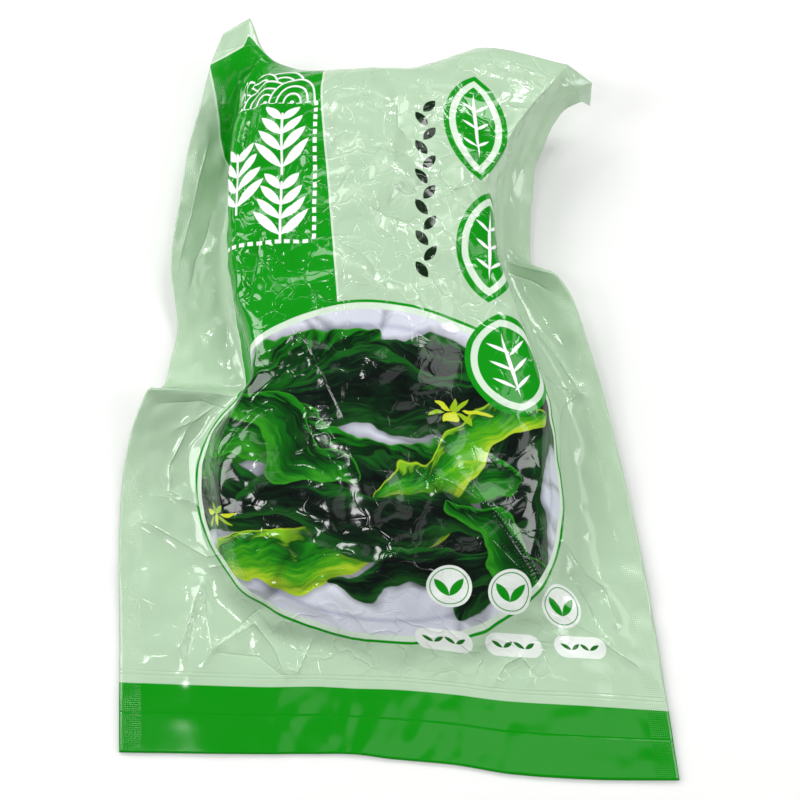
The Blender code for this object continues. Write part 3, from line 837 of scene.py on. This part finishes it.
def kelp_strip(tree, at, picture, strip):
    """Lays one wavy blade of kelp over the picture, with a soft shadow round it.

    Along the blade p runs from -reach to reach. Its middle line is a sine of p, its half
    width falls to nothing at the ends as the square root of 1 - (p / reach)^2, and its
    colour goes from a pale edge through green to nearly black and back.
    """
    centre, turn, reach, half_width, sway, wave, tones = strip
    along, across = turned(tree, at, centre, turn)
    streak = add(tree, "CombineXYZ", along, across)
    phase = add(tree, "Math", along, 2.0 * math.pi / wave, turn, operation="MULTIPLY_ADD")
    ripple = add(tree, "Math", phase, operation="SINE")
    across = add(tree, "Math", ripple, sway, across, operation="MULTIPLY_ADD")
    share = add(tree, "Math", along, along, operation="MULTIPLY")
    share = add(tree, "Math", share, -1.0 / reach**2, 1.0, operation="MULTIPLY_ADD")
    share = add(tree, "Math", share, 0.0, operation="MAXIMUM")
    share = add(tree, "Math", share, operation="SQRT")
    width = add(tree, "Math", share, half_width + 1.0, -1.0, operation="MULTIPLY_ADD")
    away = add(tree, "Math", across, operation="ABSOLUTE")
    away = add(tree, "Math", away, width, operation="SUBTRACT")
    shade = add(tree, "Math", away, -SHADOW / 6.0, 0.75 * SHADOW, operation="MULTIPLY_ADD")
    shade = add(tree, "Math", shade, SHADOW, operation="MINIMUM")
    picture = paint(tree, picture, shade, linear("#04120A"))
    place = add(tree, "Math", across, width, operation="DIVIDE")
    streak = add(tree, "VectorMath", streak, (0.05, 0.4, 0.0), operation="MULTIPLY")
    grain = add(tree, "TexNoise", streak, 1.0, 2.0, 0.6, noise_dimensions="2D")
    place = add(tree, "Math", place, 0.5, 0.1, operation="MULTIPLY_ADD")
    place = add(tree, "Math", grain, 0.8, place, operation="MULTIPLY_ADD")
    ramp = tree.nodes.new("ShaderNodeValToRGB")
    tree.links.new(place, ramp.inputs[0])
    while len(ramp.color_ramp.elements) < len(tones):
        ramp.color_ramp.elements.new(0.5)
    for stop, (position, colour) in zip(ramp.color_ramp.elements, tones):
        stop.position = position
        stop.color = linear(colour)
    picture = paint(tree, picture, inside(tree, away), ramp.outputs[0])
    return paint(tree, picture, line(tree, away, 0.5, 0.6), linear(tones[0][1]))


def kelp_picture(tree, flat_mm):
    """Folded blades of kelp heaped on a pale dish, a picture of this pouch's own."""
    picture = add(tree, "TexNoise", flat_mm, 0.02, 2.0)
    picture = paint(tree, linear("#BFC3D2"), picture, linear("#E6E8F0"))
    rim = oval(tree, flat_mm, PICTURE_CENTRE, *DISH_RIM)
    picture = paint(tree, picture, line(tree, rim, 1.0, 3.0), linear("#A9AEC4"))
    pushes = []
    for aside in (0.0, 400.0):
        moved = add(tree, "VectorMath", flat_mm, (aside, 0.0, 0.0), operation="ADD")
        push = add(tree, "TexNoise", moved, PUSH_WAVES, 2.5)
        pushes.append(add(tree, "Math", push, 2.0 * PUSH, -PUSH, operation="MULTIPLY_ADD"))
    push = add(tree, "CombineXYZ", *pushes)
    at = add(tree, "VectorMath", flat_mm, push, operation="ADD")
    for strip in KELP_STRIPS:
        picture = kelp_strip(tree, at, picture, strip)
    for centre, first in SPRIGS:
        for k in range(SPRIG_LEAVES):
            turn = first + k * SPRIG_TURN
            root = math.radians(turn + 90.0)
            out = 3.5 + 1.5 * (k % 3)
            tip = (centre[0] + out * math.cos(root), centre[1] + out * math.sin(root))
            shape = leaf(tree, at, tip, 1.3, 4.0, turn)
            colour = linear("#C9D42A" if k % 2 else "#93B81B")
            picture = paint(tree, picture, inside(tree, shape), colour)
    return picture


def frond(tree, at, colour, ink, centre):
    """A white stem with pairs of leaves that shorten towards its tip."""
    stem = plate(tree, at, centre, 0.55, 0.5 * FROND_HEIGHT, 0.5)
    colour = paint(tree, colour, inside(tree, stem), ink)
    for k in range(FROND_PAIRS):
        share = (k + 0.5) / FROND_PAIRS
        length = 9.5 - 4.5 * share
        rise = centre[1] + (share - 0.5) * FROND_HEIGHT
        for side in (-1.0, 1.0):
            middle = (centre[0] + side * 0.72 * length, rise + 0.72 * length)
            shape = leaf(tree, at, middle, 2.1, length, -45.0 * side)
            colour = paint(tree, colour, inside(tree, shape), ink)
    return colour


def film_print(tree, flat_mm):
    """The colours of the front film, laid one over another as a press lays its inks."""
    split = tree.nodes.new("ShaderNodeSeparateXYZ")
    tree.links.new(flat_mm, split.inputs[0])
    u, v = split.outputs[0], split.outputs[1]
    ink, white = linear(PRINT_GREEN), linear(PRINT_WHITE)
    colour = linear(MINT)

    left = slanted(tree, v, PANEL_LEFT_SLANT)
    left = add(tree, "Math", left, slanted(tree, v, PANEL_LEFT_SWEEP), operation="MAXIMUM")
    left = add(tree, "Math", left, PANEL_LEFT, operation="MINIMUM")
    left = add(tree, "Math", left, u, operation="SUBTRACT")
    right = add(tree, "Math", u, slanted(tree, v, PANEL_RIGHT_SLANT), operation="SUBTRACT")
    top = add(tree, "Math", u, PANEL_TOP_SLOPE, PANEL_TOP, operation="MULTIPLY_ADD")
    top = add(tree, "Math", top, PANEL_HIGHEST, operation="MINIMUM")
    top = add(tree, "Math", v, top, operation="SUBTRACT")
    foot = add(tree, "Math", PANEL_FOOT, v, operation="SUBTRACT")
    edge = add(tree, "Math", left, right, operation="MAXIMUM")
    edge = add(tree, "Math", edge, top, operation="MAXIMUM")
    edge = add(tree, "Math", edge, foot, operation="MAXIMUM")
    rim = add(tree, "Math", edge, 1.0, operation="SUBTRACT")
    colour = paint(tree, colour, inside(tree, rim), linear("#CFE1CB"))
    colour = paint(tree, colour, inside(tree, edge), ink)

    frame_edge = plate(tree, flat_mm, FRAME_CENTRE, *FRAME_HALF, FRAME_CORNER)
    upright = add(tree, "Math", u, FRAME_CENTRE[0], operation="SUBTRACT")
    upright = add(tree, "Math", upright, operation="ABSOLUTE")
    upright = add(tree, "Math", upright, FRAME_HALF[0] - 1.0, operation="GREATER_THAN")
    dash = add(tree, "Mix", upright, u, v, data_type="FLOAT")
    dash = add(tree, "Math", dash, DASH_PITCH, operation="PINGPONG")
    dash = add(tree, "Math", dash, DASH_GAP * DASH_PITCH, operation="GREATER_THAN")
    dash = both(tree, dash, line(tree, frame_edge, FRAME_LINE))
    dash = both(tree, dash, inside(tree, edge))
    colour = paint(tree, colour, dash, white)
    for centre in FRONDS:
        colour = frond(tree, flat_mm, colour, white, centre)
    squat = add(tree, "VectorMath", flat_mm, (1.0, 1.0 / WAVE_STRETCH, 0.0), operation="MULTIPLY")
    for middle in WAVES:
        centre = (middle[0], middle[1] / WAVE_STRETCH, 0.0)
        arch = add(tree, "VectorMath", squat, centre, operation="DISTANCE")
        bow = add(tree, "Math", arch, WAVE_RADIUS, operation="SUBTRACT")
        above = add(tree, "Math", v, middle[1], operation="GREATER_THAN")
        arc = both(tree, inside(tree, bow), above)
        colour = paint(tree, colour, arc, ink)
        ring = add(tree, "Math", bow, 0.5, operation="ADD")
        ring = add(tree, "Math", ring, 0.5 * WAVE_PITCH, operation="PINGPONG")
        colour = paint(tree, colour, both(tree, arc, line(tree, ring, WAVE_LINE)), white)

    around = oval(tree, flat_mm, PICTURE_CENTRE, *PICTURE_RING)
    colour = paint(tree, colour, inside(tree, around), linear(PALE_MINT))
    colour = paint(tree, colour, line(tree, around, 1.3), ink)
    disc = oval(tree, flat_mm, PICTURE_CENTRE, *PICTURE_HALF)
    colour = paint(tree, colour, inside(tree, disc), kelp_picture(tree, flat_mm))

    for centre, half_width, half_length, turn in MEDALLIONS:
        shape = leaf(tree, flat_mm, centre, half_width, half_length, turn)
        colour = paint(tree, colour, inside(tree, shape), linear(PALE_MINT))
        colour = paint(tree, colour, line(tree, shape, MEDALLION_LINE), ink)
        inner = add(tree, "Math", shape, MEDALLION_MARGIN, operation="ADD")
        colour = paint(tree, colour, inside(tree, inner), ink)
        vein = leaf(tree, flat_mm, centre, 0.9, 0.66 * half_length, turn)
        colour = paint(tree, colour, inside(tree, vein), white)
        for k in range(3):
            for side in (-1.0, 1.0):
                rise = (k - 1.0) * 0.36 * half_length
                place = (centre[0] + side * 0.22 * half_width, centre[1] + rise)
                rib = leaf(tree, flat_mm, place, 0.8, 0.3 * half_width, turn - 55.0 * side)
                colour = paint(tree, colour, inside(tree, rib), white)

    for u_place, v_place, turn in LEAF_COLUMN:
        shape = leaf(tree, flat_mm, (u_place, v_place), 2.2, 4.5, turn)
        colour = paint(tree, colour, inside(tree, shape), linear("#10260F"))

    for centre in BADGES:
        rim = add(tree, "VectorMath", flat_mm, (*centre, 0.0), operation="DISTANCE")
        rim = add(tree, "Math", rim, BADGE_RADIUS, operation="SUBTRACT")
        colour = paint(tree, colour, inside(tree, rim), linear(BADGE_WHITE))
        inner = add(tree, "Math", rim, BADGE_MARGIN, operation="ADD")
        colour = paint(tree, colour, line(tree, inner, BADGE_LINE), ink)
        for turn in (-38.0, 38.0):
            side = (centre[0] - 0.085 * turn, centre[1] - 0.4)
            sprout = leaf(tree, flat_mm, side, 1.9, 5.2, turn)
            colour = paint(tree, colour, inside(tree, sprout), ink)
    for centre in PILLS:
        pill = plate(tree, flat_mm, centre, *PILL_HALF, 4.9)
        colour = paint(tree, colour, inside(tree, pill), linear(PILL_WHITE))
        for k in (-1.5, -0.5, 0.5, 1.5):
            turn = 60.0 if k in (-1.5, 0.5) else -60.0
            mark = leaf(tree, flat_mm, (centre[0] + 5.0 * k, centre[1]), 0.9, 2.7, turn)
            colour = paint(tree, colour, inside(tree, mark), linear("#1B6E1C"))

    band = add(tree, "Math", v, BAND_TOP, operation="SUBTRACT")
    return paint(tree, colour, inside(tree, band), linear(BAND_GREEN))


def film_relief(tree, flat_mm, u, v):
    """The film's fine relief, in millimetres. The seals' knurl is a product of two sines, and
    their lines are grooves. A pressed crease has a sharp line, the square of 1 - s / w at a
    distance s from it, and so has a pucker, which runs between two of the Voronoi cells."""
    # Heat seals
    side = add(tree, "Math", u, 0.5 * FILM_WIDTH, operation="SUBTRACT")
    side = add(tree, "Math", side, operation="ABSOLUTE")
    side = add(tree, "Math", side, 0.5 * FILM_WIDTH - SEAL_WIDTH, operation="SUBTRACT")
    sealed = add(tree, "Math", side, operation="SIGN")
    sealed = add(tree, "Math", sealed, 0.0, operation="MAXIMUM")
    ribs = []
    for lean in ("ADD", "SUBTRACT"):
        rib = add(tree, "Math", u, v, operation=lean)
        rib = add(tree, "Math", rib, 2.0 * math.pi / KNURL_PITCH, operation="MULTIPLY")
        ribs.append(add(tree, "Math", rib, operation="SINE"))
    height = add(tree, "Math", *ribs, operation="MULTIPLY")
    height = add(tree, "Math", height, sealed, operation="MULTIPLY")
    height = add(tree, "Math", height, KNURL_HEIGHT, operation="MULTIPLY")
    for seal in SEAL_LINES:
        away = add(tree, "Math", v, seal, operation="SUBTRACT")
        groove = add(tree, "Math", line(tree, away, 0.5, 0.6), 0.0, operation="MAXIMUM")
        groove = add(tree, "Math", groove, 1.0, operation="MINIMUM")
        height = add(tree, "Math", groove, -SEAL_LINE_DEPTH, height, operation="MULTIPLY_ADD")

    # The sharp lines of the pressed creases
    crease = tree.nodes.new("ShaderNodeAttribute")
    crease.attribute_name = "crease"
    mark = crease.outputs["Vector"]
    gap = add(tree, "VectorMath", mark, (1.0, 1.0, 0.0), operation="MULTIPLY")
    gap = add(tree, "VectorMath", gap, operation="LENGTH")
    near = add(tree, "Math", gap, -1.0 / MARK_WIDTH, 1.0, operation="MULTIPLY_ADD")
    near = add(tree, "Math", near, 0.0, operation="MAXIMUM")
    near = add(tree, "Math", near, near, operation="MULTIPLY")
    sharp = add(tree, "VectorMath", mark, (0.0, 0.0, 1.0), operation="DOT_PRODUCT")
    near = add(tree, "Math", near, sharp, operation="MULTIPLY")
    height = add(tree, "Math", near, MARK_RISE, height, operation="MULTIPLY_ADD")

    # Random puckers, on cells whose edges are bent by a slow noise
    packed = tree.nodes.new("ShaderNodeAttribute")
    packed.attribute_name = "packed"
    shifts = []
    for aside in (0.0, 300.0):
        moved = add(tree, "VectorMath", flat_mm, (aside, 0.0, 0.0), operation="ADD")
        shifts.append(add(tree, "TexNoise", moved, BEND_WAVES, 1.0, noise_dimensions="2D"))
    shift = add(tree, "CombineXYZ", *shifts)
    bent = add(tree, "VectorMath", shift, (BEND, BEND, 0.0), flat_mm, operation="MULTIPLY_ADD")
    for cell, rise, width in PUCKERS:
        edge = tree.nodes.new("ShaderNodeTexVoronoi")
        edge.voronoi_dimensions = "2D"
        edge.feature = "DISTANCE_TO_EDGE"
        edge.inputs["Scale"].default_value = 1.0 / cell
        tree.links.new(bent, edge.inputs["Vector"])
        near = edge.outputs["Distance"]
        near = add(tree, "Math", near, -cell / width, 1.0, operation="MULTIPLY_ADD")
        near = add(tree, "Math", near, 0.0, operation="MAXIMUM")
        near = add(tree, "Math", near, near, operation="MULTIPLY")
        some = add(tree, "TexNoise", bent, 0.4 / cell, 0.0, noise_dimensions="2D")
        some = add(tree, "Math", some, 7.0, -3.8, operation="MULTIPLY_ADD")
        some = add(tree, "Math", some, -1.0, operation="MAXIMUM")
        some = add(tree, "Math", some, 1.0, operation="MINIMUM")
        ridge = add(tree, "Math", near, some, operation="MULTIPLY")
        ridge = add(tree, "Math", ridge, packed.outputs["Fac"], operation="MULTIPLY")
        height = add(tree, "Math", ridge, rise, height, operation="MULTIPLY_ADD")
    return height


def laminate(name, printed):
    """Glossy printed laminate of polyester over polythene, gravure printed on its inner
    side. It reads as colour under a clear, bright skin, with fine puckers from the vacuum,
    and it looks matt only where the seals' knurl breaks up its gloss."""
    material = bpy.data.materials.new(name)
    material.use_nodes = True
    tree = material.node_tree
    shader = tree.nodes["Principled BSDF"]
    shader.inputs["Roughness"].default_value = 0.1
    shader.inputs["IOR"].default_value = 1.5
    chart = tree.nodes.new("ShaderNodeUVMap")
    chart.uv_map = "OFBake"
    size = (FILM_WIDTH, FILM_LENGTH, 0.0)
    flat_mm = add(tree, "VectorMath", chart.outputs[0], size, operation="MULTIPLY")
    split = tree.nodes.new("ShaderNodeSeparateXYZ")
    tree.links.new(flat_mm, split.inputs[0])
    u, v = split.outputs[0], split.outputs[1]
    if printed:
        colour = film_print(tree, flat_mm)
    else:
        band = add(tree, "Math", v, BAND_TOP, operation="SUBTRACT")
        colour = paint(tree, linear(MINT), inside(tree, band), linear(BAND_GREEN))
    tree.links.new(colour, shader.inputs["Base Color"])
    height = film_relief(tree, flat_mm, u, v)
    bump = tree.nodes.new("ShaderNodeBump")
    bump.inputs["Strength"].default_value = 1.0
    bump.inputs["Distance"].default_value = MM
    tree.links.new(height, bump.inputs["Height"])
    tree.links.new(bump.outputs[0], shader.inputs["Normal"])
    return material


def wet_kelp():
    """Boiled kelp, a smooth water-filled blade. It reads as very dark wet green, mottled."""
    material = bpy.data.materials.new("wet_kelp_blades")
    material.use_nodes = True
    tree = material.node_tree
    shader = tree.nodes["Principled BSDF"]
    shader.inputs["Roughness"].default_value = 0.18
    shader.inputs["IOR"].default_value = 1.4
    chart = tree.nodes.new("ShaderNodeTexCoord")
    stretch = chart.outputs["Object"]
    stretch = add(tree, "VectorMath", stretch, (1.0, 0.25, 1.0), operation="MULTIPLY")
    mottle = add(tree, "TexNoise", stretch, 90.0, 4.0)
    colour = paint(tree, linear("#0A2410"), mottle, linear("#2A5A1C"))
    tree.links.new(colour, shader.inputs["Base Color"])
    return material


def add_light(name, place, size, power):
    """A flat soft light of that size, turned towards the middle of the pouch."""
    data = bpy.data.lights.new(name, "AREA")
    data.shape = "RECTANGLE"
    data.size, data.size_y = size
    data.energy = power
    light = bpy.data.objects.new(name, data)
    bpy.context.scene.collection.objects.link(light)
    light.location = place
    way = Vector((0.0, 0.0, 0.02)) - light.location
    light.rotation_euler = way.to_track_quat("-Z", "Y").to_euler()


def add_camera():
    """The photograph's viewing angle: 76 degrees above the floor, with a 54 mm lens."""
    data = bpy.data.cameras.new("camera")
    data.lens = 54.0
    data.sensor_width = 36.0
    data.clip_start = 0.01
    camera = bpy.data.objects.new("camera", data)
    bpy.context.scene.collection.objects.link(camera)
    camera.location = (0.0032, -0.1454, 0.5591)
    camera.rotation_euler = (math.radians(14.0), 0.0, 0.0)
    bpy.context.scene.camera = camera


def add_floor():
    """A plain sheet of pale paper, 6 m square, under everything."""
    mesh = bpy.data.meshes.new("floor")
    mesh.from_pydata([(-3, -3, 0), (3, -3, 0), (3, 3, 0), (-3, 3, 0)], [], [(0, 1, 2, 3)])
    floor = bpy.data.objects.new("floor", mesh)
    bpy.context.scene.collection.objects.link(floor)
    material = bpy.data.materials.new("matt_paper_floor")
    material.use_nodes = True
    shader = material.node_tree.nodes["Principled BSDF"]
    shader.inputs["Base Color"].default_value = linear("#F4F4F2")
    shader.inputs["Roughness"].default_value = 0.9
    mesh.materials.append(material)


def add_surroundings():
    """A dim, cool white room that fills in the shadows."""
    world = bpy.data.worlds.new("studio")
    world.use_nodes = True
    background = world.node_tree.nodes["Background"]
    background.inputs["Color"].default_value = (0.9, 0.95, 1.0, 1.0)
    background.inputs["Strength"].default_value = 0.12
    bpy.context.scene.world = world


base, place, marks, rails, v = film_shape()
flat = flat_places(base, rails, v)
half = (slice(None, None, 2), slice(None, None, 2))
normal = outward(place)
packed = over_block(rails, 1.1, 1.6)
inner = place - (FILM_THICKNESS + HIDDEN_DEPTH * packed[None, :, None]) * normal
points, faces = film_shell(place, inner[half])
corners = np.concatenate([flat.reshape(-1, 2), flat[half].reshape(-1, 2)])
marks = np.concatenate([marks.reshape(-1, 3), marks[half].reshape(-1, 3)])
along = smooth_step(BAND_TOP, TOE_START + 10.0, v) * (1.0 - 0.7 * over_picture(v))
puckered = (0.15 + 0.85 * packed[None, :]) * along[:, None]
puckered = np.concatenate([puckered.ravel(), puckered[half].ravel()])
printed = laminate("printed_laminate", True)
front = add_mesh("front_film_skin", points, faces, printed, corners, puckered, marks)
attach(front, "root")
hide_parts("front_film")

sealed = place - (2.0 * FILM_THICKNESS + FILM_GAP) * normal
lower = under_block(sealed, rails, v)
lower_normal = outward(lower)
points, faces = film_shell(lower, (lower + FILM_THICKNESS * lower_normal)[half])
plain = laminate("plain_laminate", False)
marks *= (1.0, 1.0, -1.0)
back = add_mesh("back_film_skin", points, faces[:, ::-1], plain, corners, puckered, marks)
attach(back, "root")
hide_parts("back_film")

block = add_mesh("kelp_block", *kelp_block(place, lower, rails, v), wet_kelp())
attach(block, "root")
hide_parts("kelp")

add_camera()
add_floor()
for light in LIGHTS:
    add_light(*light)
add_surroundings()
bpy.context.scene.view_settings.view_transform = "Standard"
